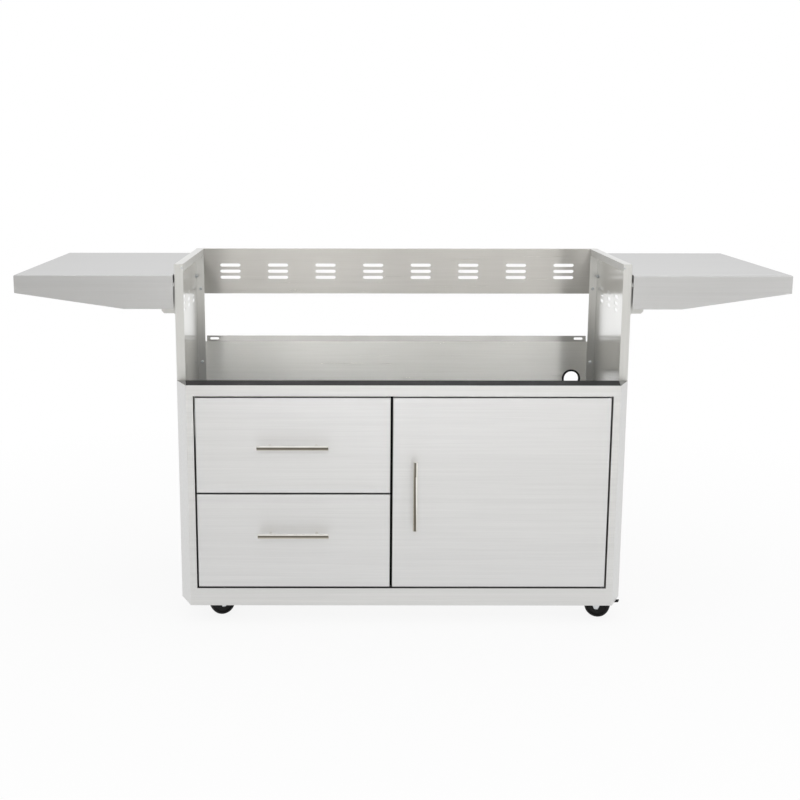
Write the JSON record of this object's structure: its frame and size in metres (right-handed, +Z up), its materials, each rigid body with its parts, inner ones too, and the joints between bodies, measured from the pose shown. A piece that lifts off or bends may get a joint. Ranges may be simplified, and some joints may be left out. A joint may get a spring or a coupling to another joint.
{
  "type": "grill cart",
  "caption": "Stainless cart for a drop-in grill: bevelled cabinet with drawers and a door, open grill bay with vented back, folding side shelves and swivel casters.",
  "frame": {"origin": "on the ground under the middle of the cart's overall box", "axes": "+X to the right of someone facing the drawers, +Y from the front to the back, +Z up"},
  "size_m": [1.9, 0.7264, 0.896],
  "materials": {
    "stainless": "brushed stainless sheet",
    "handle_steel": "satin-ground round bar",
    "zinc_steel": "zinc-plated pressed steel",
    "black_enamel": "satin black enamel",
    "black_rubber": "matt moulded rubber",
    "wheel_rubber": "hard black rubber",
    "black_plastic": "matt moulded plastic"
  },
  "bodies": {
    "cart": {"left_side_panel": "stainless", "right_side_panel": "stainless", "face_frame": "stainless", "front_ledge": "black_enamel", "floor_panel": "stainless", "lower_back_panel": "stainless", "upper_back_panel": "stainless", "centre_divider": "stainless", "hose_grommet": "black_rubber", "runner_spacers": "zinc_steel", "cabinet_rails": "zinc_steel", "magnetic_catches": "black_plastic", "left_shelf_brackets": "stainless", "right_shelf_brackets": "stainless", "caster_plates": "zinc_steel"},
    "upper_drawer": {"upper_drawer_front": "stainless", "upper_drawer_tray": "stainless", "upper_drawer_handle": "handle_steel", "upper_handle_posts": "handle_steel", "upper_drawer_rails": "zinc_steel"},
    "upper_runners": {"upper_middle_rails": "zinc_steel"},
    "lower_drawer": {"lower_drawer_front": "stainless", "lower_drawer_tray": "stainless", "lower_drawer_handle": "handle_steel", "lower_handle_posts": "handle_steel", "lower_drawer_rails": "zinc_steel"},
    "lower_runners": {"lower_middle_rails": "zinc_steel"},
    "door": {"door_panel": "stainless", "door_liner": "stainless", "door_handle": "handle_steel", "door_handle_posts": "handle_steel", "door_pivot_pins": "zinc_steel", "strike_plates": "zinc_steel"},
    "left_shelf": {"left_shelf_pan": "stainless", "left_shelf_arms": "stainless"},
    "right_shelf": {"right_shelf_pan": "stainless", "right_shelf_arms": "stainless"},
    "front_left_caster": {"front_left_fork": "zinc_steel"},
    "front_left_roller": {"front_left_wheel": "wheel_rubber"},
    "front_left_pedal": {"front_left_brake": "black_enamel"},
    "front_right_caster": {"front_right_fork": "zinc_steel"},
    "front_right_roller": {"front_right_wheel": "wheel_rubber"},
    "front_right_pedal": {"front_right_brake": "black_enamel"},
    "rear_left_caster": {"rear_left_fork": "zinc_steel"},
    "rear_left_roller": {"rear_left_wheel": "wheel_rubber"},
    "rear_right_caster": {"rear_right_fork": "zinc_steel"},
    "rear_right_roller": {"rear_right_wheel": "wheel_rubber"}
  },
  "joints": [
    {"name": "upper_drawer_slide", "type": "slide", "parent": "cart", "child": "upper_drawer", "axis": [0, -1, 0], "range_m": [0, 0.36]},
    {"name": "upper_runner_slide", "type": "slide", "parent": "cart", "child": "upper_runners", "axis": [0, -1, 0], "range_m": [0, 0.18]},
    {"name": "lower_drawer_slide", "type": "slide", "parent": "cart", "child": "lower_drawer", "axis": [0, -1, 0], "range_m": [0, 0.36]},
    {"name": "lower_runner_slide", "type": "slide", "parent": "cart", "child": "lower_runners", "axis": [0, -1, 0], "range_m": [0, 0.18]},
    {"name": "door_hinge", "type": "hinge", "parent": "cart", "child": "door", "pos_m": [0.501, -0.32382, 0.33625], "axis": [0, 0, 1], "range_deg": [0, 105]},
    {"name": "left_shelf_fold", "type": "hinge", "parent": "cart", "child": "left_shelf", "pos_m": [-0.575, -0.03932, 0.7815], "axis": [0, -1, 0], "range_deg": [0, 90]},
    {"name": "right_shelf_fold", "type": "hinge", "parent": "cart", "child": "right_shelf", "pos_m": [0.575, -0.03932, 0.7815], "axis": [0, 1, 0], "range_deg": [0, 90]},
    {"name": "front_left_swivel", "type": "hinge", "parent": "cart", "child": "front_left_caster", "pos_m": [-0.4795, -0.27163, 0.084], "axis": [0, 0, 1], "continuous": true},
    {"name": "front_left_roll", "type": "hinge", "parent": "front_left_caster", "child": "front_left_roller", "pos_m": [-0.45725, -0.26263, 0.032], "axis": [-0.3746, 0.9272, 0], "continuous": true},
    {"name": "front_left_pedal_press", "type": "hinge", "parent": "front_left_caster", "child": "front_left_pedal", "pos_m": [-0.45725, -0.26263, 0.032], "axis": [-0.3746, 0.9272, 0], "range_deg": [0, 20]},
    {"name": "front_right_swivel", "type": "hinge", "parent": "cart", "child": "front_right_caster", "pos_m": [0.4795, -0.27163, 0.084], "axis": [0, 0, 1], "continuous": true},
    {"name": "front_right_roll", "type": "hinge", "parent": "front_right_caster", "child": "front_right_roller", "pos_m": [0.50205, -0.27983, 0.032], "axis": [0.342, 0.9397, 0], "continuous": true},
    {"name": "front_right_pedal_press", "type": "hinge", "parent": "front_right_caster", "child": "front_right_pedal", "pos_m": [0.50205, -0.27983, 0.032], "axis": [0.342, 0.9397, 0], "range_deg": [0, 20]},
    {"name": "rear_left_swivel", "type": "hinge", "parent": "cart", "child": "rear_left_caster", "pos_m": [-0.4795, 0.12498, 0.084], "axis": [0, 0, 1], "continuous": true},
    {"name": "rear_left_roll", "type": "hinge", "parent": "rear_left_caster", "child": "rear_left_roller", "pos_m": [-0.45695, 0.13318, 0.032], "axis": [-0.342, 0.9397, 0], "continuous": true},
    {"name": "rear_right_swivel", "type": "hinge", "parent": "cart", "child": "rear_right_caster", "pos_m": [0.4795, 0.12498, 0.084], "axis": [0, 0, 1], "continuous": true},
    {"name": "rear_right_roll", "type": "hinge", "parent": "rear_right_caster", "child": "rear_right_roller", "pos_m": [0.50314, 0.12914, 0.032], "axis": [-0.1736, 0.9848, 0], "continuous": true}
  ],
  "couplings": [
    {"joint": "upper_runner_slide", "follows": "upper_drawer_slide", "ratio": 0.5},
    {"joint": "lower_runner_slide", "follows": "lower_drawer_slide", "ratio": 0.5}
  ]
}
